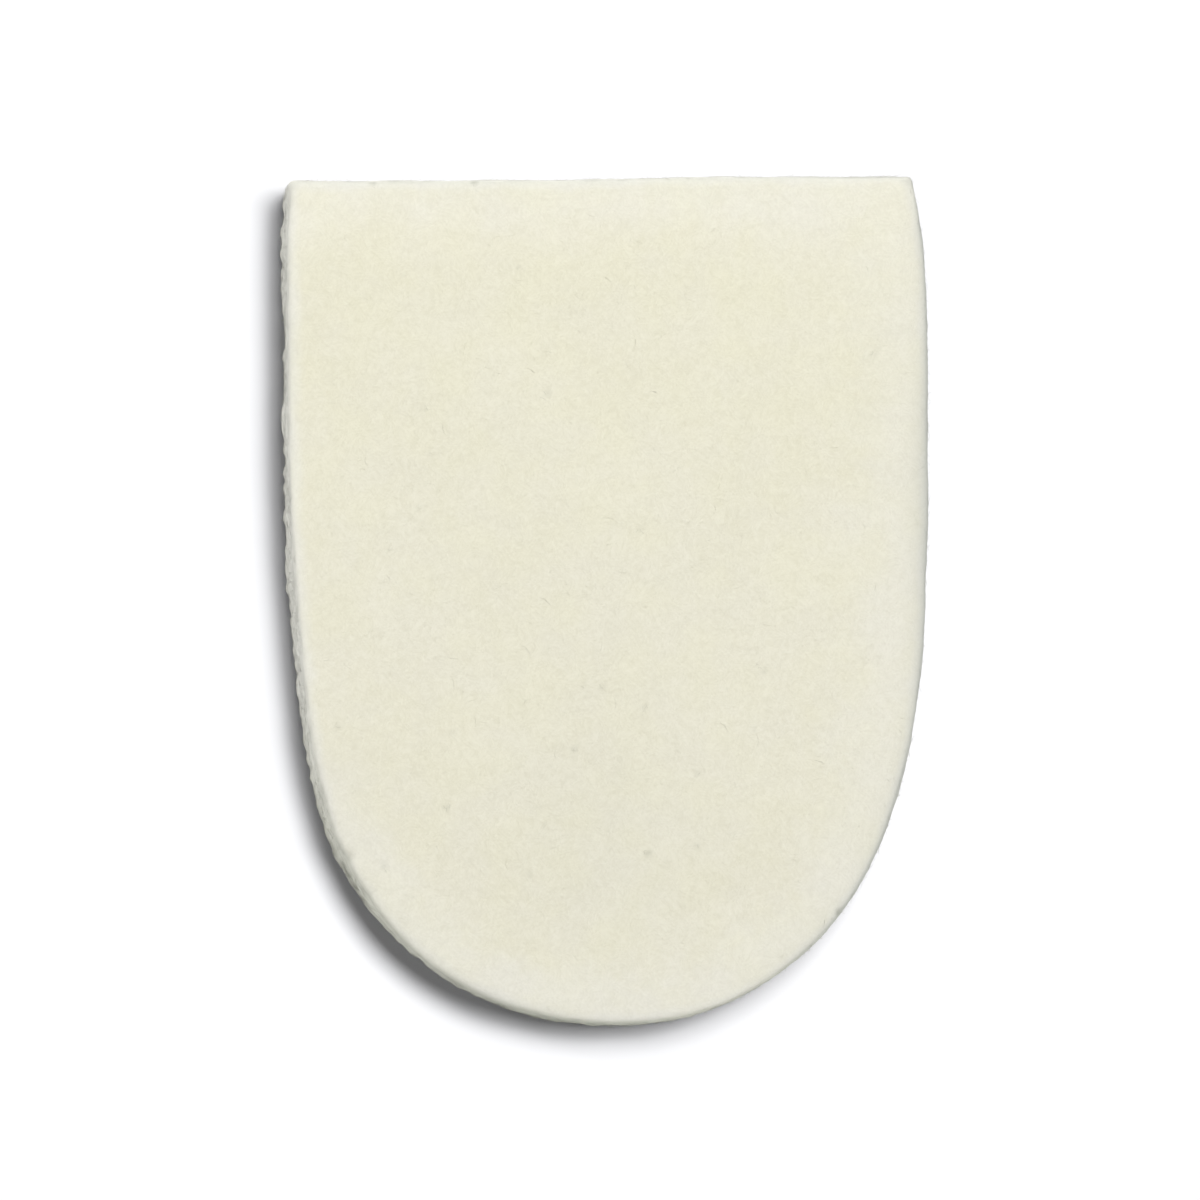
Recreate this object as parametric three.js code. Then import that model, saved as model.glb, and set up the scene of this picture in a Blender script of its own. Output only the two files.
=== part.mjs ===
// Felt heel pad: one thick piece of pressed felt, cut to the plan of a heel.
// Millimetres, +Z up, +Y towards the straight front edge, origin at the middle of the underside.
import * as THREE from 'three';

// Driving sizes of the pad
const PAD_WIDTH = 63.5;
const PAD_THICKNESS = 6.35;
const FRONT_TO_WIDEST = 30.5;
const FRONT_SIDE_RADIUS = 1200;

// Front corners, which the cut leaves sharper at the upper face than at the foot
const CORNER_RADIUS = { foot: 2.0, face: 0.4, smallest: 0.3 };

// Curves of one side behind the widest place; each runs on from the one before it
const BACK_CURVES = {
  side: { radius: 185, turnedTo: THREE.MathUtils.degToRad(7) },
  shoulder: { radius: 50, turnedTo: THREE.MathUtils.degToRad(20.5) },
};

// Straight pieces that each stretch of one half of the outline is drawn with
const STEPS = { frontEdge: 7, corner: 4, frontSide: 8, side: 7, shoulder: 4, tip: 20 };

// Section through the cut edge, from the underside to the flat of the upper face
const EDGE_SECTION = [
  { height: 0, inset: 0.3 },
  { height: 0.1, inset: 0.1 },
  { height: 0.35, inset: 0 },
  { height: 2.0, inset: 0 },
  { height: 3.6, inset: 0.03 },
  { height: 5.2, inset: 0.09 },
  { height: 5.68, inset: 0.15 },
  { height: 5.96, inset: 0.28 },
  { height: 6.14, inset: 0.5 },
  { height: 6.24, inset: 0.84 },
  { height: 6.3, inset: 1.4 },
  { height: 6.335, inset: 2.3 },
  { height: PAD_THICKNESS, inset: 3.6 },
];

// Places where the cut strays from the drawn outline: its shift, and its share at the foot and the face
const CUT_FAULTS = [
  { name: 'flared foot', x: -26.5, y: -25, reach: 13, shiftX: -0.46, shiftY: -0.28, foot: 1, face: 0 },
  { name: 'spread foot', x: -17, y: -37, reach: 12, shiftX: -0.08, shiftY: -0.1, foot: 1, face: 0 },
  { name: 'flared left corner', x: -31.5, y: 36, reach: 10, shiftX: -0.26, shiftY: 0, foot: 1, face: 0 },
  { name: 'drawn in left face', x: -30.5, y: -4, reach: 22, shiftX: 0.4, shiftY: 0, foot: 0, face: 1 },
  { name: 'full heel face', x: -17.4, y: -35.3, reach: 16, shiftX: -0.21, shiftY: -0.31, foot: 0, face: 1 },
  { name: 'full heel', x: 10, y: -41, reach: 8, shiftX: 0, shiftY: -0.2, foot: 1, face: 1 },
  { name: 'lean right end', x: 27, y: -22, reach: 22, shiftX: -0.42, shiftY: 0.16, foot: 1, face: 1 },
  { name: 'drawn in right', x: 31.5, y: 3, reach: 7, shiftX: -0.14, shiftY: 0, foot: 1, face: 1 },
  { name: 'full right side', x: 31.5, y: 28.5, reach: 16, shiftX: 0.32, shiftY: 0, foot: 1, face: 1 },
  { name: 'drawn right corner', x: 31, y: 45, reach: 11.5, shiftX: -0.95, shiftY: 0, foot: 1, face: 1 },
  { name: 'low left front', x: -26, y: 42, reach: 20, shiftX: 0, shiftY: -0.46, foot: 1, face: 1 },
  { name: 'low middle front', x: -6, y: 42, reach: 20, shiftX: 0, shiftY: -0.34, foot: 1, face: 1 },
];

const HALF_WIDTH = PAD_WIDTH / 2;
const { side, shoulder } = BACK_CURVES;

// Radius of the round back end, which closes the curves on the middle line
const TIP_RADIUS = shoulder.radius
  + (HALF_WIDTH - side.radius + (side.radius - shoulder.radius) * Math.cos(side.turnedTo))
  / Math.cos(shoulder.turnedTo);

// How far the round back end reaches behind the widest place
const WIDEST_TO_TIP = TIP_RADIUS
  + (side.radius - shoulder.radius) * Math.sin(side.turnedTo)
  + (shoulder.radius - TIP_RADIUS) * Math.sin(shoulder.turnedTo);

const PAD_LENGTH = FRONT_TO_WIDEST + WIDEST_TO_TIP;
const FRONT_Y = PAD_LENGTH / 2;
const WIDEST_Y = FRONT_Y - FRONT_TO_WIDEST;

// Centre of a curve that runs on smoothly from another one where both point the same way
function nextCentre(centre, radius, nextRadius, turned) {
  const shift = radius - nextRadius;
  return new THREE.Vector2(centre.x + shift * Math.cos(turned), centre.y - shift * Math.sin(turned));
}

// Points of one arc, without its first one, which ends the stretch before it
function arcPoints(centre, radius, fromAngle, toAngle, steps) {
  const arc = new THREE.ArcCurve(centre.x, centre.y, radius, fromAngle, toAngle, true);
  return arc.getPoints(steps).slice(1);
}

// Right half of the outline at one height, moved in by an inset, from the middle of the front edge to the tip
function halfOutline(height, inset) {
  const front = FRONT_Y - inset;
  const frontSideCentre = new THREE.Vector2(HALF_WIDTH - FRONT_SIDE_RADIUS, WIDEST_Y);
  const drawnCorner = THREE.MathUtils.lerp(CORNER_RADIUS.foot, CORNER_RADIUS.face, height / PAD_THICKNESS);
  const cornerRadius = Math.max(drawnCorner - inset, CORNER_RADIUS.smallest);
  const cornerRise = front - cornerRadius - WIDEST_Y;
  const cornerRun = Math.sqrt((FRONT_SIDE_RADIUS - inset - cornerRadius) ** 2 - cornerRise ** 2);
  const corner = new THREE.Vector2(frontSideCentre.x + cornerRun, front - cornerRadius);
  const cornerEnd = Math.atan2(cornerRise, cornerRun);

  const sideCentre = new THREE.Vector2(HALF_WIDTH - side.radius, WIDEST_Y);
  const shoulderCentre = nextCentre(sideCentre, side.radius, shoulder.radius, side.turnedTo);
  const tipCentre = nextCentre(shoulderCentre, shoulder.radius, TIP_RADIUS, shoulder.turnedTo);

  const edge = new THREE.LineCurve(new THREE.Vector2(0, front), new THREE.Vector2(corner.x, front));
  return [
    ...edge.getPoints(STEPS.frontEdge),
    ...arcPoints(corner, cornerRadius, Math.PI / 2, cornerEnd, STEPS.corner),
    ...arcPoints(frontSideCentre, FRONT_SIDE_RADIUS - inset, cornerEnd, 0, STEPS.frontSide),
    ...arcPoints(sideCentre, side.radius - inset, 0, -side.turnedTo, STEPS.side),
    ...arcPoints(shoulderCentre, shoulder.radius - inset, -side.turnedTo, -shoulder.turnedTo, STEPS.shoulder),
    ...arcPoints(tipCentre, TIP_RADIUS - inset, -shoulder.turnedTo, -Math.PI / 2, STEPS.tip),
  ];
}

// Whole outline, clockwise from above; the left half mirrors the right one
function wholeOutline(height, inset) {
  const right = halfOutline(height, inset);
  const left = right.slice(1, -1).reverse().map((p) => new THREE.Vector2(-p.x, p.y));
  return [...right, ...left];
}

// One ring of the edge section, shifted where the cut strays
function sectionRing({ height, inset }) {
  return wholeOutline(height, inset).map((point) => {
    const at = new THREE.Vector3(point.x, point.y, height);
    for (const fault of CUT_FAULTS) {
      const away = Math.min(Math.hypot(point.x - fault.x, point.y - fault.y) / fault.reach, 1);
      const share = Math.cos(away * Math.PI / 2) ** 2
        * THREE.MathUtils.lerp(fault.foot, fault.face, height / PAD_THICKNESS);
      at.x += fault.shiftX * share;
      at.y += fault.shiftY * share;
    }
    return at;
  });
}

// Closed body: rings joined by bands, with a flat face below and above that fans out from its middle
function padGeometry() {
  const rings = EDGE_SECTION.map(sectionRing);
  const count = rings[0].length;
  const topRing = (rings.length - 1) * count;
  const underMiddle = rings.length * count;
  const upperMiddle = underMiddle + 1;
  const middles = [new THREE.Vector3(0, 0, 0), new THREE.Vector3(0, 0, PAD_THICKNESS)];
  const faces = [];
  for (let i = 0; i < count; i += 1) {
    const next = (i + 1) % count;
    for (let low = 0; low < topRing; low += count) {
      const high = low + count;
      faces.push(low + i, high + i, low + next);
      faces.push(low + next, high + i, high + next);
    }
    faces.push(underMiddle, i, next);
    faces.push(upperMiddle, topRing + next, topRing + i);
  }

  const geometry = new THREE.BufferGeometry().setFromPoints([...rings.flat(), ...middles]);
  geometry.setIndex(faces);
  geometry.computeVertexNormals();
  return geometry;
}

const feltMaterial = new THREE.MeshStandardMaterial({ color: '#e8e6d2', roughness: 0.95, metalness: 0 });

const pad = new THREE.Mesh(padGeometry(), feltMaterial);
pad.name = 'felt_pad';

const group = new THREE.Group();
group.name = 'felt_heel_pad';
group.add(pad);

export default group;
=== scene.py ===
import math
import bpy
import numpy as np
from mathutils import Matrix, Vector, noise
from mathutils.bvhtree import BVHTree


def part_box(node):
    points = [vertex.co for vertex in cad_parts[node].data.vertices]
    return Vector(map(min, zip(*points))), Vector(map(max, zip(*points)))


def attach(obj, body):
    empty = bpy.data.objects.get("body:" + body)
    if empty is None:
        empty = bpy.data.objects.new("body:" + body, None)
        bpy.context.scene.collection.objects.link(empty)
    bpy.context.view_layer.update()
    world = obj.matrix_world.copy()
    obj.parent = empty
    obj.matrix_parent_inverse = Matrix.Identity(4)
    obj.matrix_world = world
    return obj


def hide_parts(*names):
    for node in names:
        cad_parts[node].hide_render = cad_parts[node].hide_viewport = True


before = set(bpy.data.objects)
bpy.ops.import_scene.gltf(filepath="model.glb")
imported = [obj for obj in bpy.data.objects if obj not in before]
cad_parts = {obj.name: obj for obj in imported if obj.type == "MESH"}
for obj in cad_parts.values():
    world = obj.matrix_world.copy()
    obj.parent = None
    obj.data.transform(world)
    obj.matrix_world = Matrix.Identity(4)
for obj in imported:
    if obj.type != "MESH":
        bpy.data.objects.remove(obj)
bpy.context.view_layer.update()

# Lengths below are in millimetres, and the scene is in metres
MM = 0.001
TINY = 1e-9
PAD_LOW, PAD_HIGH = (np.array(corner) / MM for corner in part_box("felt_pad"))
THICKNESS = PAD_HIGH[2]


# Shared helpers

def only(piece):
    """Leaves one piece selected and active."""
    bpy.ops.object.select_all(action="DESELECT")
    piece.select_set(True)
    bpy.context.view_layer.objects.active = piece


def apply_modifier(piece, kind, **settings):
    """Adds a modifier with these settings and applies it."""
    modifier = piece.modifiers.new(kind.title(), kind)
    for name, value in settings.items():
        setattr(modifier, name, value)
    only(piece)
    bpy.ops.object.modifier_apply(modifier=modifier.name)


def read_points(mesh, what="co"):
    """Vertex places in millimetres, or vertex normals."""
    values = np.empty(len(mesh.vertices) * 3)
    mesh.vertices.foreach_get(what, values)
    values = values.reshape(-1, 3)
    return values / MM if what == "co" else values


def write_points(mesh, points):
    """Puts the vertices at places given in millimetres."""
    mesh.vertices.foreach_set("co", (points * MM).ravel())
    mesh.update()


def lumps(points, size):
    """Smooth noise from about -1 to 1 at each point; size is one length, or one for each axis."""
    return np.array([noise.noise(p) for p in points / np.asarray(size, float)])


def layered(points, rows):
    """Lumps of several sizes added up, each row's shifted so that they differ from the others'."""
    return sum(row["rise"] * lumps(points + row["shift"], row["size"]) for row in rows)


def smooth_step(low, high, values):
    """Nothing up to the low end, one from the high end on, and a smooth rise between them."""
    t = np.clip((values - low) / (high - low), 0, 1)
    return t * t * (3 - 2 * t)


def between(first, second, share):
    """The value that lies this share of the way from the first to the second."""
    return first + (second - first) * share


def unit(vectors):
    """The vectors brought to a length of one."""
    return vectors / np.maximum(np.linalg.norm(vectors, axis=-1, keepdims=True), TINY)


def keep_value(mesh, name, values):
    """Stores one number for each vertex, for the materials to read."""
    layer = mesh.attributes.new(name, "FLOAT", "POINT")
    layer.data.foreach_set("value", values.astype(np.float32))


# The pad's body

VOXEL = 0.36
MERGE = 0.001
SMOOTHING = {"factor": 0.5, "iterations": 1}
OUTLINE_HEIGHT = 2.0
HEIGHT_SLACK = 0.01

# Upward parts of a normal over which the wall turns into a face, for the shape and for each of the marks
SHAPE_TURN = (0.35, 0.85)
WALL_TURN = (0.4, 0.85)
WORN_TURN = (0.5, 0.9)

# Unevenness of the pressed faces and the cut wall: the size of its lumps, how far they rise, and their shift
FACE_LUMPS = [
    {"size": 13, "rise": 0.05, "shift": 0},
    {"size": 3.2, "rise": 0.03, "shift": 40},
    {"size": 1.1, "rise": 0.028, "shift": 80},
]
CUT_LUMPS = [
    {"size": (5, 5, 9), "rise": 0.07, "shift": 0},
    {"size": (2.4, 2.4, 0.9), "rise": 0.06, "shift": 20},
]
UNDERSIDE = {"uneven": 0.3, "pressed": 0.1}

# The cut is plucked all over, more so at its foot, where it is frayed too, most of all along the sides
FOOT = {"whole_to": 1.0, "ends": 5.0, "drawn_in": 0.05}
PLUCKED = {"size": (1.1, 1.1, 2.0), "shift": 60, "rise": 0.04, "foot_rise": 0.09}
FRAYED = {
    "size": (1.15, 1.15, 5.0), "shift": 90,
    "heel_rise": 0.12, "side_rise": 0.3,
    "heel_y": -22, "side_y": -6,
}

# Where the right side and the front edge begin, and where they are reached in full
RIGHT_SIDE = (8, 26)
FRONT_EDGE = (36, 40)

# The rim is rubbed paler in a narrow band all round, and more faintly in a wide one
RIM_WIDTH = {"narrow": 1.3, "wide": 4.6, "wide_right": 7.5}
RIM_FADE = (0.45, 1.45)
RIM_LUMPS = [
    {"size": 4, "rise": 0.35, "shift": 0},
    {"size": 1.4, "rise": 0.25, "shift": 30},
]
WIDE_RIM = {
    "heel": {"towards": (0, -1), "begins": 10, "whole": 24, "much": 0.62},
    "right": {"towards": (1, 0), "begins": -10, "whole": 10, "much": 0.5},
    "front": {"towards": (0, 1), "begins": 30, "whole": 38, "much": 0.35},
}

# Painted shade on the rim's very edge, most on the right side and least on the left: how much on each side,
# and the length over which that falls away
EDGE_SHADE = {"left": 0.2, "front": 0.4, "right": 0.78}
EDGE_SHADE_FROM = 0.35
EDGE_SHADE_HEIGHT = (4.6, 5.8)
EDGE_SHADE_REACH = {"least": 0.42, "most": 0.85, "most_y": 8, "over": 14}
HEEL_WORN = {"x": 0.4, "y": -26, "wide": 9, "long": 13, "much": 0.05}

# Grime in patches of the cut, and how steeply the soil of a mark falls off from its middle
GRIME = {"size": (1.5, 1.5, 2.4), "shift": 70, "much": 0.14, "patches": (0.0, 0.6)}
SOIL_FALL = 5

# A nick is taller than it is wide, by this squeeze of each axis, and this is how steeply it falls off
NICK_SQUEEZE = (1, 1, 0.6)
NICK_FALL = 2

# Nicks in the cut edge, and one drawn-out tip: place, spread, depth, and height on the wall
NICKS = [
    {"x": -26.6, "y": -26.1, "spread": 1.2, "depth": 0.16, "height": 1.4},
    {"x": -24.4, "y": -29.2, "spread": 1.2, "depth": 0.12, "height": 1.6},
    {"x": -26.0, "y": -25.2, "spread": 1.0, "depth": 0.26, "height": 6.1},
    {"x": -24.0, "y": -28.9, "spread": 0.9, "depth": 0.16, "height": 6.1},
    {"x": 21.9, "y": -31.0, "spread": 0.6, "depth": 0.16, "height": 6.0},
    {"x": -31.7, "y": 26.2, "spread": 0.7, "depth": 0.22, "height": 1.0},
    {"x": -31.7, "y": 15.9, "spread": 0.7, "depth": 0.24, "height": 1.0},
    {"x": -31.7, "y": 33.2, "spread": 1.0, "depth": 0.16, "height": 1.2},
    {"x": 30.2, "y": 41.5, "spread": 0.7, "depth": -0.1, "height": 5.7},
    {"x": 30.9, "y": 8.0, "spread": 1.2, "depth": 0.12, "height": 3.4},
    {"x": 8.0, "y": 41.6, "spread": 1.6, "depth": 0.12, "height": 3.0},
]

# Specks of dark wool: place, width, how dark each is and how many fibres show; the edge's have a height too
FLECKS = [
    {"x": -16.5, "y": -20.4, "width": 0.6, "dark": 0.26, "fibres": 3},
    {"x": -3.9, "y": -14.8, "width": 0.7, "dark": 0.2, "fibres": 2},
    {"x": 3.2, "y": -25.1, "width": 0.7, "dark": 0.34, "fibres": 2},
    {"x": 8.0, "y": -24.4, "width": 0.6, "dark": 0.16, "fibres": 1},
    {"x": 8.1, "y": -17.3, "width": 0.6, "dark": 0.2, "fibres": 1},
    {"x": 3.0, "y": -10.8, "width": 0.7, "dark": 0.17, "fibres": 3},
    {"x": 14.2, "y": -6.6, "width": 0.5, "dark": 0.1, "fibres": 1},
    {"x": 14.9, "y": -7.3, "width": 0.7, "dark": 0.18, "fibres": 1},
    {"x": -6.1, "y": 20.1, "width": 0.8, "dark": 0.19, "fibres": 2},
    {"x": -8.8, "y": 32.6, "width": 0.6, "dark": 0.16, "fibres": 0},
    {"x": -18.3, "y": 18.7, "width": 0.6, "dark": 0.16, "fibres": 1},
    {"x": -24.5, "y": 21.4, "width": 0.6, "dark": 0.1, "fibres": 0},
    {"x": -21.8, "y": 4.8, "width": 0.6, "dark": 0.09, "fibres": 1},
    {"x": 26.3, "y": 24.0, "width": 0.6, "dark": 0.12, "fibres": 1},
    {"x": -1.1, "y": -8.8, "width": 0.7, "dark": 0.12, "fibres": 1},
    {"x": -15.9, "y": -13.1, "width": 0.8, "dark": 0.1, "fibres": 0},
    {"x": -22.7, "y": -26.0, "width": 0.7, "dark": 0.21, "fibres": 1},
    {"x": -8.5, "y": -27.0, "width": 0.7, "dark": 0.18, "fibres": 0},
    {"x": -27.1, "y": -12.5, "width": 0.7, "dark": 0.12, "fibres": 1},
    {"x": 2.8, "y": 6.7, "width": 0.9, "dark": 0.12, "fibres": 2},
    {"x": -18.9, "y": 9.0, "width": 0.7, "dark": 0.14, "fibres": 0},
    {"x": -7.0, "y": -22.3, "width": 0.6, "dark": 0.14, "fibres": 0},
    {"x": 13.8, "y": -13.0, "width": 0.6, "dark": 0.14, "fibres": 0},
    {"x": -23.0, "y": 40.95, "width": 0.55, "height": 6.1, "dark": 0.5, "fibres": 1},
    {"x": -13.0, "y": 41.05, "width": 0.6, "height": 6.1, "dark": 0.55, "fibres": 1},
]

# Dark marks in the cut of the edge, the broad low ones darkening the foot of the wall at the lower left:
# place, height on the wall, width, how tall each mark is and how dark
EDGE_MARKS = [
    {"x": -26.4, "y": -25.9, "height": 2.6, "width": 1.2, "tall": 4.2, "dark": 0.85},
    {"x": -26.0, "y": -26.8, "height": 2.4, "width": 1.5, "tall": 4.6, "dark": 0.95},
    {"x": -25.3, "y": -27.8, "height": 2.0, "width": 2.0, "tall": 4.0, "dark": 0.85},
    {"x": -24.6, "y": -29.0, "height": 1.6, "width": 2.2, "tall": 3.8, "dark": 0.68},
    {"x": -26.1, "y": -25.2, "height": 6.0, "width": 0.9, "tall": 1.2, "dark": 0.2},
    {"x": -27.2, "y": -24.0, "height": 1.2, "width": 2.6, "tall": 3.8, "dark": 0.5},
    {"x": -28.4, "y": -21.0, "height": 0.9, "width": 4.2, "tall": 3.0, "dark": 0.32},
    {"x": 21.9, "y": -31.0, "height": 6.1, "width": 0.7, "tall": 1.0, "dark": 0.6},
    {"x": -31.5, "y": 38.2, "height": 3.6, "width": 1.0, "tall": 2.4, "dark": 0.14},
    {"x": -31.6, "y": 36.6, "height": 2.0, "width": 0.9, "tall": 2.0, "dark": 0.12},
    {"x": -31.6, "y": 30.4, "height": 2.6, "width": 1.1, "tall": 2.4, "dark": 0.1},
]


def copy_of_solid():
    """The pad's own solid as a new piece, merged and cut into a fine even mesh, and its plan."""
    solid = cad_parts["felt_pad"]
    pad = bpy.data.objects.new("felt_body", solid.data.copy())
    bpy.context.collection.objects.link(pad)
    pad.data.materials.clear()
    only(pad)
    bpy.ops.object.mode_set(mode="EDIT")
    bpy.ops.mesh.select_all(action="SELECT")
    bpy.ops.mesh.remove_doubles(threshold=MERGE * MM)
    bpy.ops.object.mode_set(mode="OBJECT")
    outline = outline_of(pad.data)
    apply_modifier(pad, "REMESH", mode="VOXEL", voxel_size=VOXEL * MM)
    apply_modifier(pad, "SMOOTH", **SMOOTHING)
    return pad, outline


def outline_of(mesh):
    """The pad's plan, as points in order round its middle."""
    points = read_points(mesh)
    ring = points[np.abs(points[:, 2] - OUTLINE_HEIGHT) < HEIGHT_SLACK][:, :2]
    return ring[np.argsort(np.arctan2(ring[:, 1], ring[:, 0]))]


def inset_from(outline, points):
    """How far inside the plan's edge each point lies."""
    nearest = np.full(len(points), np.inf)
    for start, end in zip(outline, np.roll(outline, -1, 0)):
        along = end - start
        share = np.clip((points[:, :2] - start) @ along / (along @ along), 0, 1)
        off = points[:, :2] - start - share[:, None] * along
        nearest = np.minimum(nearest, (off ** 2).sum(1))
    return np.sqrt(nearest)


def cut_of_wall(points):
    """How far the cut stands out of the drawn wall, or in, at each point."""
    foot = 1 - smooth_step(FOOT["whole_to"], FOOT["ends"], points[:, 2])
    plucked = between(PLUCKED["rise"], PLUCKED["foot_rise"], foot)
    side = smooth_step(FRAYED["heel_y"], FRAYED["side_y"], points[:, 1])
    frayed = between(FRAYED["heel_rise"], FRAYED["side_rise"], side)
    cut = layered(points, CUT_LUMPS)
    cut += plucked * lumps(points + PLUCKED["shift"], PLUCKED["size"])
    cut += foot * (frayed * lumps(points + FRAYED["shift"], FRAYED["size"]) - FOOT["drawn_in"])
    return cut


def felt_surface(pad, outline):
    """Gives the faces the slight unevenness of pressed felt, and the wall the marks of its cut."""
    mesh = pad.data
    points, normals = read_points(mesh), read_points(mesh, "normal")
    upper = smooth_step(*SHAPE_TURN, normals[:, 2])
    lower = smooth_step(*SHAPE_TURN, -normals[:, 2])
    wall = 1 - upper - lower
    face = layered(points, FACE_LUMPS)
    under = UNDERSIDE["uneven"] * (face - UNDERSIDE["pressed"])
    out = upper * face + wall * cut_of_wall(points) + lower * under
    for nick in NICKS:
        centre = np.array([nick["x"], nick["y"], nick["height"]])
        away = (((points - centre) * NICK_SQUEEZE) ** 2).sum(1) / nick["spread"] ** 2
        out -= nick["depth"] * np.exp(-NICK_FALL * away)
    points += normals * out[:, None]
    points[:, 2] = np.maximum(points[:, 2], 0)
    write_points(mesh, points)
    keep_marks(mesh, marks_at(outline, points, normals))


def marks_at(outline, points, normals):
    """What the wool's colour depends on at each point: how far it is rim, cut wall, greyed by painted edge
    shade and heel wear, and soiled.
    """
    inset = inset_from(outline, points)
    right = smooth_step(*RIGHT_SIDE, points[:, 0])
    wall = 1 - smooth_step(*WALL_TURN, np.abs(normals[:, 2]))
    # painted shade on the upper edge, reaching down the wall only on the right side
    shade_and_wear = edge_shade_at(points, inset, right) * (1 - wall * (1 - right))
    grime = GRIME["much"] * smooth_step(*GRIME["patches"], lumps(points + GRIME["shift"], GRIME["size"]))
    return {
        "rim": rim_at(points, inset, right),
        "wall": wall,
        "shade_and_wear": np.maximum(shade_and_wear, worn_at(points, normals)),
        "soil": np.maximum(soil_at(points), grime * wall),
    }


def rim_at(points, inset, right):
    """How far the rim is rubbed paler at each point."""
    ragged = layered(points, RIM_LUMPS)
    width = between(RIM_WIDTH["wide"], RIM_WIDTH["wide_right"], right)
    narrow = 1 - smooth_step(*RIM_FADE, inset / RIM_WIDTH["narrow"] + ragged)
    wide = 1 - smooth_step(*RIM_FADE, inset / width + ragged)
    faint = np.zeros(len(points))
    for side in WIDE_RIM.values():
        reached = smooth_step(side["begins"], side["whole"], points[:, :2] @ side["towards"])
        faint = np.maximum(faint, side["much"] * reached)
    return np.maximum(narrow, wide * faint)


def edge_shade_at(points, inset, right):
    """How far painted shade greys the upper edge at each point."""
    y, z = points[:, 1], points[:, 2]
    much = between(EDGE_SHADE["left"], EDGE_SHADE["right"], right)
    much = between(much, EDGE_SHADE["front"], smooth_step(*FRONT_EDGE, y))
    gripped = right * np.exp(-((y - EDGE_SHADE_REACH["most_y"]) / EDGE_SHADE_REACH["over"]) ** 2)
    reach = between(EDGE_SHADE_REACH["least"], EDGE_SHADE_REACH["most"], gripped)
    falls = np.exp(-np.maximum(inset - EDGE_SHADE_FROM, 0) / reach)
    return much * falls * smooth_step(*EDGE_SHADE_HEIGHT, z)


def worn_at(points, normals):
    """How far the upper face is dulled where the heel wears it."""
    across = (points[:, 0] - HEEL_WORN["x"]) / HEEL_WORN["wide"]
    along = (points[:, 1] - HEEL_WORN["y"]) / HEEL_WORN["long"]
    return HEEL_WORN["much"] * np.exp(-across ** 2 - along ** 2) * smooth_step(*WORN_TURN, normals[:, 2])


def keep_marks(mesh, marks, each=1):
    """Stores the marks on a mesh; each of them serves for so many points."""
    for name, values in marks.items():
        keep_value(mesh, name, np.repeat(values, each))


def soil_at(points):
    """How dark the wool is made at each point, from the specks and the marks in the edge."""
    soil = np.zeros(len(points))
    for mark in FLECKS + EDGE_MARKS:
        width, tall = mark["width"], mark.get("tall", mark["width"])
        centre = np.array([mark["x"], mark["y"], mark.get("height", THICKNESS)])
        away = (((points - centre) / (width, width, tall)) ** 2).sum(1)
        soil = np.maximum(soil, mark["dark"] * np.exp(-SOIL_FALL * away))
    return soil


# Nap: fine wool fibres that lie on the felt and stand out of its cut

RING_SIDES = 3
RINGS = 3
FLOOR_GAP = 0.03
NAP_SHADES = (-0.4, 0.5)

# Each nap: its fibres, their length, thickness and bend, the share that stands, and how far they are raised
FACE_NAP = {
    "fibres": 10400, "seed": 11, "facing": (0.3, 0.7),
    "length": (0.7, 1.8), "thickness": (0.015, 0.026), "bend": 0.7,
    "standing": 0.008, "raised": (0.05, 0.2), "lying": 0.002,
}
WALL_NAP = {
    "fibres": 9000, "seed": 13, "facing": (0.25, 0.6), "above": 0.3,
    "length": (0.5, 1.5), "thickness": (0.018, 0.03), "bend": 0.8,
    "standing": 0.14, "raised": (0.1, 0.4), "lying": (0, 0.02),
}
FLECK_NAP = {
    "seed": 17, "strays": 0.25,
    "length": (0.5, 1.1), "thickness": (0.025, 0.045), "bend": 0.9,
    "lying": 0.01,
}


def surface_of(pad):
    """The body's corners, triangles and normals, and a tree that finds its nearest place."""
    mesh = pad.data
    mesh.calc_loop_triangles()
    corners = np.empty(len(mesh.loop_triangles) * 3, np.int32)
    mesh.loop_triangles.foreach_get("vertices", corners)
    corners = corners.reshape(-1, 3)
    points = read_points(mesh)
    tree = BVHTree.FromPolygons(points.tolist(), corners.tolist())
    return {"points": points, "corners": corners, "normals": read_points(mesh, "normal"), "tree": tree}


def roots_on(surface, wanted, count, draw):
    """Random places on the body, spread by area over the faces that are wanted, with their normals."""
    corners = surface["corners"]
    a, b, c = (surface["points"][corners[:, k]] for k in range(3))
    facing = unit(surface["normals"][corners].mean(1))
    weight = np.linalg.norm(np.cross(b - a, c - a), axis=1) * wanted((a + b + c) / 3, facing)
    chosen = draw.choice(len(corners), count, p=weight / weight.sum())
    u, v = draw.random(count), draw.random(count)
    over = u + v > 1
    u[over], v[over] = 1 - u[over], 1 - v[over]
    places = a[chosen] + u[:, None] * (b - a)[chosen] + v[:, None] * (c - a)[chosen]
    return places, facing[chosen]


def laid_paths(surface, roots, normals, length, lift, bend, draw):
    """Bent paths along the surface through the roots, each raised at one end by its lift."""
    count = len(roots)
    rough = unit(draw.normal(size=(count, 3)))
    along = unit(rough - (rough * normals).sum(1, keepdims=True) * normals)
    across = np.cross(normals, along)
    curve, twist = draw.normal(0, bend, (2, count))
    paths = np.empty((count, RINGS + 2, 3))
    for k, s in enumerate(np.linspace(-0.5, 0.5, RINGS + 2)):
        aside = (curve * s ** 2 + twist * s ** 3) * length
        flat = roots + along * (s * length)[:, None] + across * aside[:, None]
        laid = np.array([surface["tree"].find_nearest(p)[0] for p in flat])
        paths[:, k] = laid + normals * (lift * (s + 0.5) ** 2)[:, None]
    paths[:, :, 2] = np.maximum(paths[:, :, 2], FLOOR_GAP)
    return paths


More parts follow.
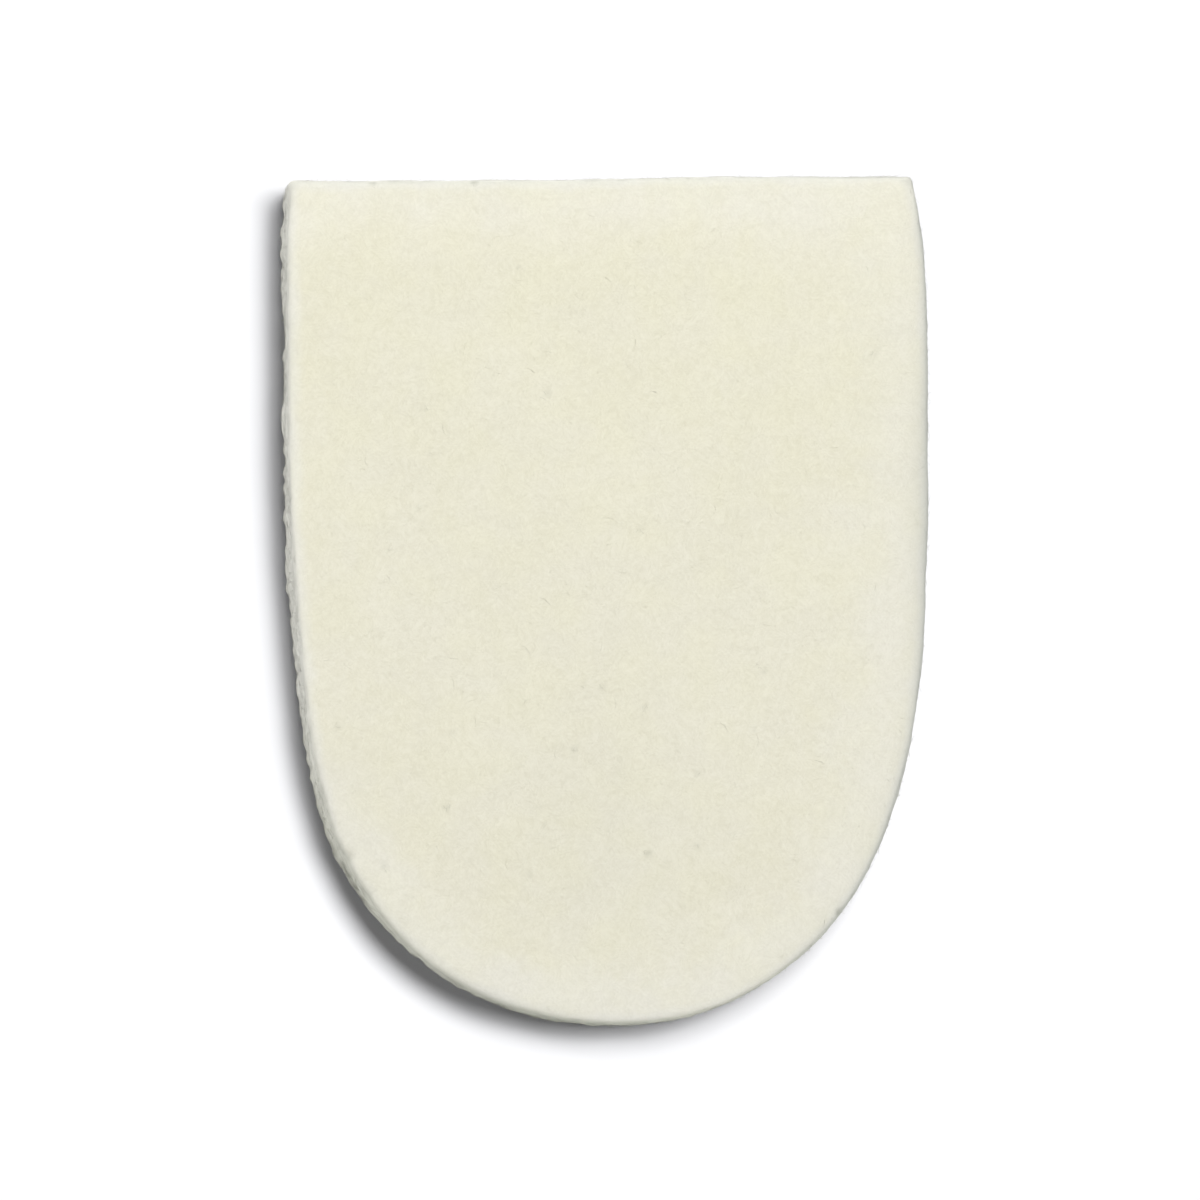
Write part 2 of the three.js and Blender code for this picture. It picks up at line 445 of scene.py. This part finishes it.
def nap_piece(name, paths, normals, thickness):
    """Joins thin closed fibres into one piece; also gives how many points each fibre has."""
    count, knots, _ = paths.shape
    tangent = unit(np.gradient(paths, axis=1))
    side = unit(np.cross(tangent, normals[:, None, :]))
    top = np.cross(side, tangent)
    rings = []
    for k in range(1, knots - 1):
        for j in range(RING_SIDES):
            angle = 2 * math.pi * j / RING_SIDES + math.pi / 2
            out = math.cos(angle) * side[:, k] + math.sin(angle) * top[:, k]
            rings.append(paths[:, k] + out * thickness[:, None] / 2)
    points = np.stack([paths[:, 0], *rings, paths[:, -1]], 1)
    each = points.shape[1]
    last = each - 1
    pattern = []
    for j in range(RING_SIDES):
        n = (j + 1) % RING_SIDES
        pattern.append((0, 1 + n, 1 + j))
        for k in range(RINGS - 1):
            low, high = 1 + k * RING_SIDES, 1 + (k + 1) * RING_SIDES
            pattern.append((low + j, low + n, high + n))
            pattern.append((low + j, high + n, high + j))
        end = 1 + (RINGS - 1) * RING_SIDES
        pattern.append((last, end + j, end + n))
    faces = (np.array(pattern)[None] + each * np.arange(count)[:, None, None]).reshape(-1, 3)
    mesh = bpy.data.meshes.new(name)
    mesh.from_pydata((points.reshape(-1, 3) * MM).tolist(), [], faces.tolist())
    piece = bpy.data.objects.new(name, mesh)
    bpy.context.collection.objects.link(piece)
    return piece, each


def felt_nap(name, nap, surface, outline, roots, normals, lift, draw):
    """Fibres that take their colour from the felt at their roots, each a little paler or deeper than it."""
    count = len(roots)
    length = draw.uniform(*nap["length"], count)
    paths = laid_paths(surface, roots, normals, length, lift, nap["bend"], draw)
    piece, each = nap_piece(name, paths, normals, draw.uniform(*nap["thickness"], count))
    marks = marks_at(outline, roots, normals)
    marks["shade"] = draw.uniform(*NAP_SHADES, count)
    keep_marks(piece.data, marks, each)
    return piece


def face_nap(surface, outline):
    """Fibres of the upper face, nearly all of them lying flat."""
    count, draw = FACE_NAP["fibres"], np.random.default_rng(FACE_NAP["seed"])

    def on_face(places, facing):
        return smooth_step(*FACE_NAP["facing"], facing[:, 2])

    roots, normals = roots_on(surface, on_face, count, draw)
    standing = draw.random(count) < FACE_NAP["standing"]
    lift = np.where(standing, draw.uniform(*FACE_NAP["raised"], count), FACE_NAP["lying"])
    return felt_nap("face_nap", FACE_NAP, surface, outline, roots, normals, lift, draw)


def wall_nap(surface, outline):
    """Short fibres of the cut wall and the rim, some standing out."""
    count, draw = WALL_NAP["fibres"], np.random.default_rng(WALL_NAP["seed"])

    def on_wall(places, facing):
        upright = smooth_step(*WALL_NAP["facing"], 1 - np.abs(facing[:, 2]))
        return upright * (places[:, 2] > WALL_NAP["above"])

    roots, normals = roots_on(surface, on_wall, count, draw)
    standing = draw.random(count) < WALL_NAP["standing"]
    raised = draw.uniform(*WALL_NAP["raised"], count)
    lift = np.where(standing, raised, draw.uniform(*WALL_NAP["lying"], count))
    return felt_nap("wall_nap", WALL_NAP, surface, outline, roots, normals, lift, draw)


def fleck_nap(surface):
    """The dark specks, each a little tangle of short fibres."""
    draw = np.random.default_rng(FLECK_NAP["seed"])
    over_face = THICKNESS + 1
    middles, widths = [], []
    for fleck in FLECKS:
        for _ in range(fleck["fibres"]):
            aside = draw.normal(0, fleck["width"] * FLECK_NAP["strays"], 2)
            middles.append((fleck["x"] + aside[0], fleck["y"] + aside[1], over_face))
            widths.append(fleck["width"])
    count = len(middles)
    found = [surface["tree"].find_nearest(Vector(place)) for place in middles]
    roots, normals = (np.array([tuple(hit[k]) for hit in found]) for k in range(2))
    length = np.array(widths) * draw.uniform(*FLECK_NAP["length"], count)
    lift = np.full(count, FLECK_NAP["lying"])
    paths = laid_paths(surface, roots, normals, length, lift, FLECK_NAP["bend"], draw)
    return nap_piece("dark_flecks", paths, normals, draw.uniform(*FLECK_NAP["thickness"], count))[0]


# Materials

# Places of the colour sockets among those of a Mix node
MIX_COLOURS = (6, 7)
MIX_RESULT = 2


def new_material(name):
    """A new material and its node tree."""
    material = bpy.data.materials.new(name)
    material.use_nodes = True
    return material, material.node_tree


def add(tree, kind, settings=(), values=()):
    """A new node with these settings, and these values in its inputs."""
    made = tree.nodes.new(kind)
    for name, value in dict(settings).items():
        setattr(made, name, value)
    for name, value in dict(values).items():
        made.inputs[name].default_value = value
    return made


def maths(tree, operation, first, second):
    """A Math node; each side is a number or a socket."""
    made = add(tree, "ShaderNodeMath", {"operation": operation})
    for slot, value in zip(made.inputs, (first, second)):
        if isinstance(value, (int, float)):
            slot.default_value = value
        else:
            tree.links.new(value, slot)
    return made.outputs[0]


def mixed(tree, share, first, second):
    """A colour mixed from two, each a colour or a socket."""
    made = add(tree, "ShaderNodeMix", {"data_type": "RGBA"})
    tree.links.new(share, made.inputs["Factor"])
    for slot, value in zip(MIX_COLOURS, (first, second)):
        if isinstance(value, tuple):
            made.inputs[slot].default_value = (*value, 1)
        else:
            tree.links.new(value, made.inputs[slot])
    return made.outputs[MIX_RESULT]


def spread_out(tree, value, low, high, kind="SMOOTHSTEP"):
    """A value spread out from 0 at its low end to 1 at its high end, and held to them."""
    made = add(tree, "ShaderNodeMapRange", {"interpolation_type": kind}, {"From Min": low, "From Max": high})
    tree.links.new(value, made.inputs["Value"])
    return made.outputs[0]


def patches(tree, where, size, turn=0.0, detail=1.0):
    """Noise whose patches have this size in millimetres along each axis."""
    place = add(tree, "ShaderNodeMapping", {"vector_type": "TEXTURE"},
                {"Scale": tuple(length * MM for length in size), "Rotation": (0, 0, math.radians(turn))})
    tree.links.new(where, place.inputs["Vector"])
    pattern = add(tree, "ShaderNodeTexNoise", {}, {"Scale": 1.0, "Detail": detail})
    tree.links.new(place.outputs[0], pattern.inputs["Vector"])
    return pattern.outputs["Fac"]


# Matted wool: sizes of its clouds, clumps and strands, how the strands lie, and how each counts in the tone
CLOUD_SIZE = (9, 9, 9)
CLUMP_SIZE = (1.2, 1.2, 1.2)
STRAND_SIZE = (0.9, 0.2, 0.25)
STRAND_TURNS = (12, 71, 133)
STRAND_SWAY = {"size": 2.4, "reach": 1.6}
TONE_SHARES = {"clouds": 0.35, "clumps": 0.3, "strands": 2.2}
TONE_ENDS = (0.925, 1.925)
CLUMP_HEIGHT = 0.3


def felt_grain():
    """Group: the tone and height of matted wool, from broad clouds down to single strands."""
    group = bpy.data.node_groups.new("matted wool", "ShaderNodeTree")
    for name in ("Tone", "Height"):
        group.interface.new_socket(name, in_out="OUTPUT", socket_type="NodeSocketFloat")
    where = add(group, "ShaderNodeTexCoord").outputs["Object"]
    sway = add(group, "ShaderNodeTexNoise", {}, {"Scale": 1 / (STRAND_SWAY["size"] * MM), "Detail": 1.0})
    group.links.new(where, sway.inputs["Vector"])
    bent = add(group, "ShaderNodeVectorMath", {"operation": "MULTIPLY_ADD"})
    group.links.new(sway.outputs["Color"], bent.inputs[0])
    bent.inputs[1].default_value = (STRAND_SWAY["reach"] * MM,) * 3
    group.links.new(where, bent.inputs[2])
    clouds = patches(group, where, CLOUD_SIZE, detail=2.0)
    clumps = patches(group, where, CLUMP_SIZE, detail=2.0)
    strands = None
    for turn in STRAND_TURNS:
        layer = patches(group, bent.outputs[0], STRAND_SIZE, turn)
        strands = layer if strands is None else maths(group, "ADD", strands, layer)
    strands = maths(group, "MULTIPLY", strands, 1 / len(STRAND_TURNS))
    broad = maths(group, "MULTIPLY", clouds, TONE_SHARES["clouds"])
    middle = maths(group, "MULTIPLY", clumps, TONE_SHARES["clumps"])
    fine = maths(group, "MULTIPLY", strands, TONE_SHARES["strands"])
    tone = maths(group, "ADD", maths(group, "ADD", broad, middle), fine)
    ends = add(group, "NodeGroupOutput")
    group.links.new(spread_out(group, tone, *TONE_ENDS), ends.inputs["Tone"])
    height = maths(group, "ADD", maths(group, "MULTIPLY", clumps, CLUMP_HEIGHT), strands)
    group.links.new(height, ends.inputs["Height"])
    return group


# Deep and pale wool of the face, the rim and the cut, the grey of the painted edge shade and the heel's
# wear, and the greys of specks and soil
WOOL_DEEP = (0.668, 0.646, 0.518)
WOOL_PALE = (0.738, 0.718, 0.591)
RIM_DEEP = (0.686, 0.672, 0.587)
RIM_PALE = (0.75, 0.737, 0.649)
CUT_DEEP = (0.555, 0.55, 0.50)
CUT_PALE = (0.665, 0.66, 0.605)
SHADE_AND_WEAR_GREY = (0.365, 0.375, 0.345)
FLECK_GREY = (0.43, 0.43, 0.35, 1)
SOIL_GREY = (0.2, 0.205, 0.16)

# Painted light and shade along the face, darker and a little bluer towards the heel and lightest near the
# front edge, and the cut of the wall a little darker and greener towards the heel
FACE_LIGHT_AND_SHADE = [
    {"y": -41, "tint": (0.954, 0.954, 0.964)},
    {"y": -28, "tint": (0.942, 0.942, 0.95)},
    {"y": 0, "tint": (0.967, 0.967, 0.974)},
    {"y": 18, "tint": (0.98, 0.98, 0.974)},
    {"y": 32, "tint": (0.994, 0.994, 0.98)},
    {"y": 38, "tint": (1.026, 1.026, 1.03)},
    {"y": 41, "tint": (1.014, 1.014, 1.014)},
]
WALL_CAST = [
    {"y": -41, "tint": (0.955, 0.975, 0.905)},
    {"y": -32, "tint": (0.925, 0.94, 0.875)},
    {"y": -22, "tint": (0.94, 0.945, 0.9)},
    {"y": -8, "tint": (0.99, 0.99, 0.98)},
]

# Warmer and cooler patches of the face, the pressed layers of the cut, and the ends of noise that both keep
PATCH_SIZE = (5, 5, 5)
PATCH_TINTS = ((1.0, 1.0, 1.016), (1.0, 1.0, 0.984))
LAYER_SIZE = (3.5, 3.5, 0.32)
NOISE_ENDS = (0.3, 0.7)

WOOL_FINISH = {
    "Roughness": 0.95,
    "Specular IOR Level": 0.12,
    "Sheen Weight": 0.12,
    "Sheen Roughness": 0.6,
    "Sheen Tint": (1.0, 0.985, 0.93, 1),
}
WOOL_BUMP = {"Strength": 0.5, "Distance": 0.09 * MM}


def read_value(tree, name):
    """A number stored on the piece's vertices."""
    return add(tree, "ShaderNodeAttribute", {"attribute_name": name}).outputs["Fac"]


def wool_shader(tree):
    """The material's own shader, with the dull and faintly downy finish of wool."""
    shader = tree.nodes["Principled BSDF"]
    for name, value in WOOL_FINISH.items():
        shader.inputs[name].default_value = value
    return shader


def cast_along(tree, along, rows):
    """A tint that changes along the pad."""
    share = spread_out(tree, along, PAD_LOW[1] * MM, PAD_HIGH[1] * MM, kind="LINEAR")
    ramp = add(tree, "ShaderNodeValToRGB")
    tree.links.new(share, ramp.inputs[0])
    stops = ramp.color_ramp.elements
    while len(stops) < len(rows):
        stops.new(1.0)
    for stop, row in zip(stops, rows):
        stop.position = (row["y"] - PAD_LOW[1]) / (PAD_HIGH[1] - PAD_LOW[1])
        stop.color = (*row["tint"], 1)
    return ramp.outputs["Color"]


def tinted(tree, colour, tint):
    """A colour multiplied by a tint."""
    made = add(tree, "ShaderNodeVectorMath", {"operation": "MULTIPLY"})
    tree.links.new(colour, made.inputs[0])
    tree.links.new(tint, made.inputs[1])
    return made.outputs[0]


def felt_material(grain):
    """Matted face with a paler rubbed rim, and the greyer cut of the wall with its pressed layers."""
    material, tree = new_material("pressed felt")
    shader = wool_shader(tree)
    wool = add(tree, "ShaderNodeGroup", {"node_tree": grain})
    where = add(tree, "ShaderNodeTexCoord").outputs["Object"]
    tone = maths(tree, "ADD", wool.outputs["Tone"], read_value(tree, "shade"))
    face = mixed(tree, tone, WOOL_DEEP, WOOL_PALE)
    rim = mixed(tree, tone, RIM_DEEP, RIM_PALE)
    place = add(tree, "ShaderNodeSeparateXYZ")
    tree.links.new(where, place.inputs[0])
    colour = mixed(tree, read_value(tree, "rim"), face, rim)
    # painted light and shade along the face
    colour = tinted(tree, colour, cast_along(tree, place.outputs["Y"], FACE_LIGHT_AND_SHADE))
    warmth = spread_out(tree, patches(tree, where, PATCH_SIZE, detail=3.0), *NOISE_ENDS)
    colour = tinted(tree, colour, mixed(tree, warmth, *PATCH_TINTS))
    layers = spread_out(tree, patches(tree, where, LAYER_SIZE, detail=2.0), *NOISE_ENDS)
    cut_tone = maths(tree, "ADD", layers, read_value(tree, "shade"))
    cut = mixed(tree, cut_tone, CUT_DEEP, CUT_PALE)
    cut = tinted(tree, cut, cast_along(tree, place.outputs["Y"], WALL_CAST))
    colour = mixed(tree, read_value(tree, "wall"), colour, cut)
    # painted shade on the rim's edge, and the heel's wear, mixed towards grey
    colour = mixed(tree, read_value(tree, "shade_and_wear"), colour, SHADE_AND_WEAR_GREY)
    colour = mixed(tree, read_value(tree, "soil"), colour, SOIL_GREY)
    tree.links.new(colour, shader.inputs["Base Color"])
    bump = add(tree, "ShaderNodeBump", {}, WOOL_BUMP)
    tree.links.new(wool.outputs["Height"], bump.inputs["Height"])
    tree.links.new(bump.outputs["Normal"], shader.inputs["Normal"])
    return material


def fleck_material():
    """Dark wool of the specks."""
    material, tree = new_material("dark wool")
    wool_shader(tree).inputs["Base Color"].default_value = FLECK_GREY
    return material


# Setting

CAMERA_TILT = (-6.3, -4.0)
CAMERA_ROLL = -0.82
CAMERA_AWAY = 700.0
CAMERA_AIM = (-1.194, -0.191, 6.204)
CAMERA_LENS = 214.42
CAMERA_SEES = (10, 20000)
SKY_COLOUR = (1, 1, 1, 1)
SKY_STRENGTH = 0.095
SKY_SHOWN = 0.9
FLOOR_SIZE = 6000
FLOOR_PALE = (0.858, 0.86, 0.876, 1)

# Soft suns: the way to each, its width in degrees, and the brightness that it gives a white wall facing it
LAMPS = [
    {"name": "side key", "towards": (0.425, 0.16, 1.0), "spread": 24, "gives": 0.585},
    {"name": "front key", "towards": (0.21, 0.41, 1.0), "spread": 24, "gives": 0.585},
    {"name": "left fill", "towards": (-1.0, 0.58, 0.03), "spread": 8, "gives": 0.81},
    {"name": "heel fill", "towards": (-0.1, -1.0, 0.08), "spread": 12, "gives": 0.27},
]


def camera():
    """Stands over the pad where the photograph was taken from, a little to its left and its heel side."""
    tilt = [math.sin(math.radians(angle)) for angle in CAMERA_TILT]
    back = Vector((tilt[0], tilt[1], math.sqrt(1 - tilt[0] ** 2 - tilt[1] ** 2)))
    right = Vector((0, 1, 0)).cross(back).normalized()
    up = back.cross(right)
    turn = Matrix((right, up, back)).transposed() @ Matrix.Rotation(math.radians(CAMERA_ROLL), 3, "Z")
    data = bpy.data.cameras.new("camera")
    data.lens = CAMERA_LENS
    data.clip_start, data.clip_end = (length * MM for length in CAMERA_SEES)
    eye = bpy.data.objects.new("camera", data)
    eye.matrix_world = Matrix.Translation((Vector(CAMERA_AIM) + back * CAMERA_AWAY) * MM) @ turn.to_4x4()
    bpy.context.collection.objects.link(eye)
    bpy.context.scene.camera = eye


def lights():
    """The soft suns, and a white sky that is brighter to the eye than to the scene."""
    for row in LAMPS:
        lamp = bpy.data.lights.new(row["name"], "SUN")
        lamp.angle = math.radians(row["spread"])
        lamp.energy = row["gives"] * math.pi
        holder = bpy.data.objects.new(row["name"], lamp)
        holder.rotation_euler = Vector(row["towards"]).to_track_quat("Z", "Y").to_euler()
        bpy.context.collection.objects.link(holder)
    world = bpy.data.worlds.new("studio")
    world.use_nodes = True
    tree = world.node_tree
    background = tree.nodes["Background"]
    seen = add(tree, "ShaderNodeLightPath").outputs["Is Camera Ray"]
    strength = maths(tree, "ADD", maths(tree, "MULTIPLY", seen, SKY_SHOWN - SKY_STRENGTH), SKY_STRENGTH)
    tree.links.new(strength, background.inputs["Strength"])
    background.inputs["Color"].default_value = SKY_COLOUR
    bpy.context.scene.world = world
    bpy.context.scene.view_settings.view_transform = "Standard"


def floor():
    """A plain pale floor."""
    bpy.ops.object.select_all(action="DESELECT")
    bpy.ops.mesh.primitive_plane_add(size=FLOOR_SIZE * MM)
    plane = bpy.context.active_object
    plane.name = "floor"
    material, tree = new_material("pale floor")
    shader = tree.nodes["Principled BSDF"]
    shader.inputs["Base Color"].default_value = FLOOR_PALE
    shader.inputs["Roughness"].default_value = 1
    shader.inputs["Specular IOR Level"].default_value = 0
    plane.data.materials.append(material)


pad, outline = copy_of_solid()
felt_surface(pad, outline)
grain = felt_grain()
felt = felt_material(grain)
pad.data.materials.append(felt)
only(pad)
bpy.ops.object.shade_smooth()
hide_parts("felt_pad")
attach(pad, "root")

# The floor takes no light bounced off the body, so the shadow beside it is as deep as in the photograph
pad.visible_diffuse = False

surface = surface_of(pad)
for piece, wool in (
    (face_nap(surface, outline), felt),
    (wall_nap(surface, outline), felt),
    (fleck_nap(surface), fleck_material()),
):
    piece.data.materials.append(wool)
    only(piece)
    bpy.ops.object.shade_smooth()
    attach(piece, "root")

floor()
lights()
camera()
